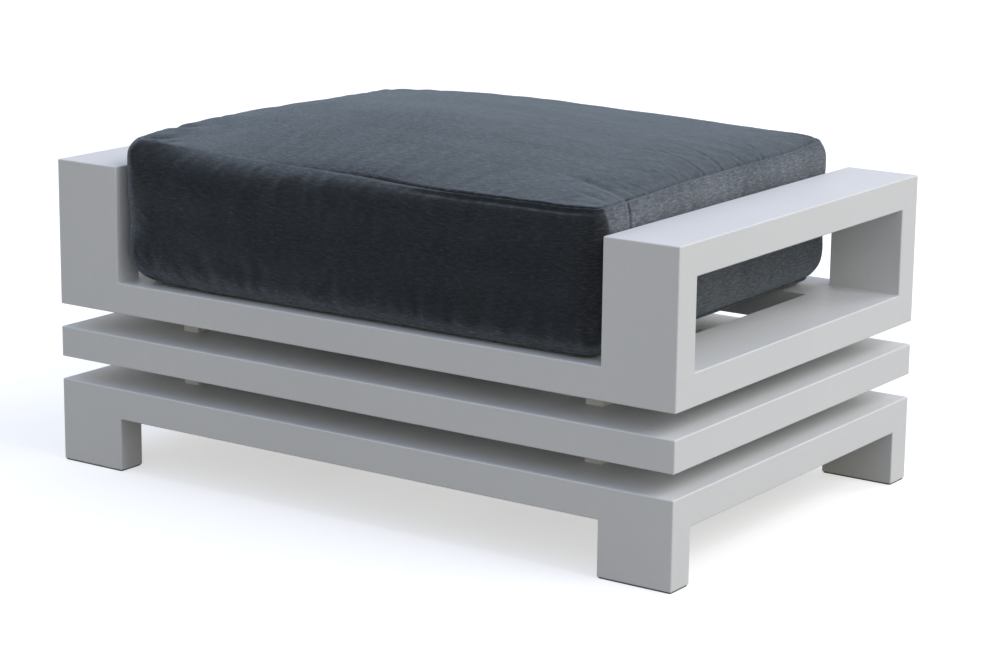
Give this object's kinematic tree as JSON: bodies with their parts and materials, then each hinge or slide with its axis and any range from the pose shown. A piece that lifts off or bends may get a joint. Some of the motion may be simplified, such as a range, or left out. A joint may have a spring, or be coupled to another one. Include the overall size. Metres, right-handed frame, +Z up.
{
  "type": "outdoor ottoman footstool",
  "caption": "Low outdoor footstool: three stacked frames of white coated aluminium box tube with open loop arms and a loose dark boxed cushion between them.",
  "frame": {"origin": "on the floor under the middle of the frame", "axes": "+X along the long side to the right, +Y to the back, +Z up"},
  "size_m": [0.93, 0.585, 0.4783],
  "materials": {
    "powder_coat": "satin",
    "glide_plastic": "matte",
    "cover_fabric": "matte",
    "foam": "matte",
    "zip_cloth": "matte",
    "zip_metal": "satin"
  },
  "bodies": {
    "frame": {"base_rail_front": "powder_coat", "base_rail_back": "powder_coat", "base_rail_left": "powder_coat", "base_rail_right": "powder_coat", "middle_rail_front": "powder_coat", "middle_rail_back": "powder_coat", "middle_rail_left": "powder_coat", "middle_rail_right": "powder_coat", "seat_rail_front": "powder_coat", "seat_rail_back": "powder_coat", "seat_rail_left": "powder_coat", "seat_rail_right": "powder_coat", "seat_crossbar_left": "powder_coat", "seat_crossbar_middle": "powder_coat", "seat_crossbar_right": "powder_coat", "lower_spacer_front_left": "powder_coat", "lower_spacer_front_right": "powder_coat", "lower_spacer_back_left": "powder_coat", "lower_spacer_back_right": "powder_coat", "upper_spacer_front_left": "powder_coat", "upper_spacer_front_right": "powder_coat", "upper_spacer_back_left": "powder_coat", "upper_spacer_back_right": "powder_coat", "leg_front_left": "powder_coat", "leg_front_right": "powder_coat", "leg_back_left": "powder_coat", "leg_back_right": "powder_coat", "arm_top_left": "powder_coat", "arm_top_right": "powder_coat", "arm_post_front_left": "powder_coat", "arm_post_back_left": "powder_coat", "arm_post_front_right": "powder_coat", "arm_post_back_right": "powder_coat", "foot_glide_front_left": "glide_plastic", "foot_glide_front_right": "glide_plastic", "foot_glide_back_left": "glide_plastic", "foot_glide_back_right": "glide_plastic"},
    "cushion": {"cushion_cover": "cover_fabric", "cushion_foam_core": "foam", "zip_tape": "zip_cloth"},
    "zip_slider": {"zip_slider": "zip_metal"},
    "zip_pull": {"zip_pull": "zip_metal"}
  },
  "joints": [
    {"name": "cushion_lift", "type": "slide", "parent": "frame", "child": "cushion", "axis": [0, 0, 1], "range_m": [0, 0.22]},
    {"name": "zip_slide", "type": "slide", "parent": "cushion", "child": "zip_slider", "axis": [1, 0, 0], "range_m": [0, 0.532]},
    {"name": "zip_pull_flip", "type": "hinge", "parent": "zip_slider", "child": "zip_pull", "pos_m": [-0.2662, 0.2758, 0.3277], "axis": [0, 0, 1], "range_deg": [0, 180]}
  ]
}
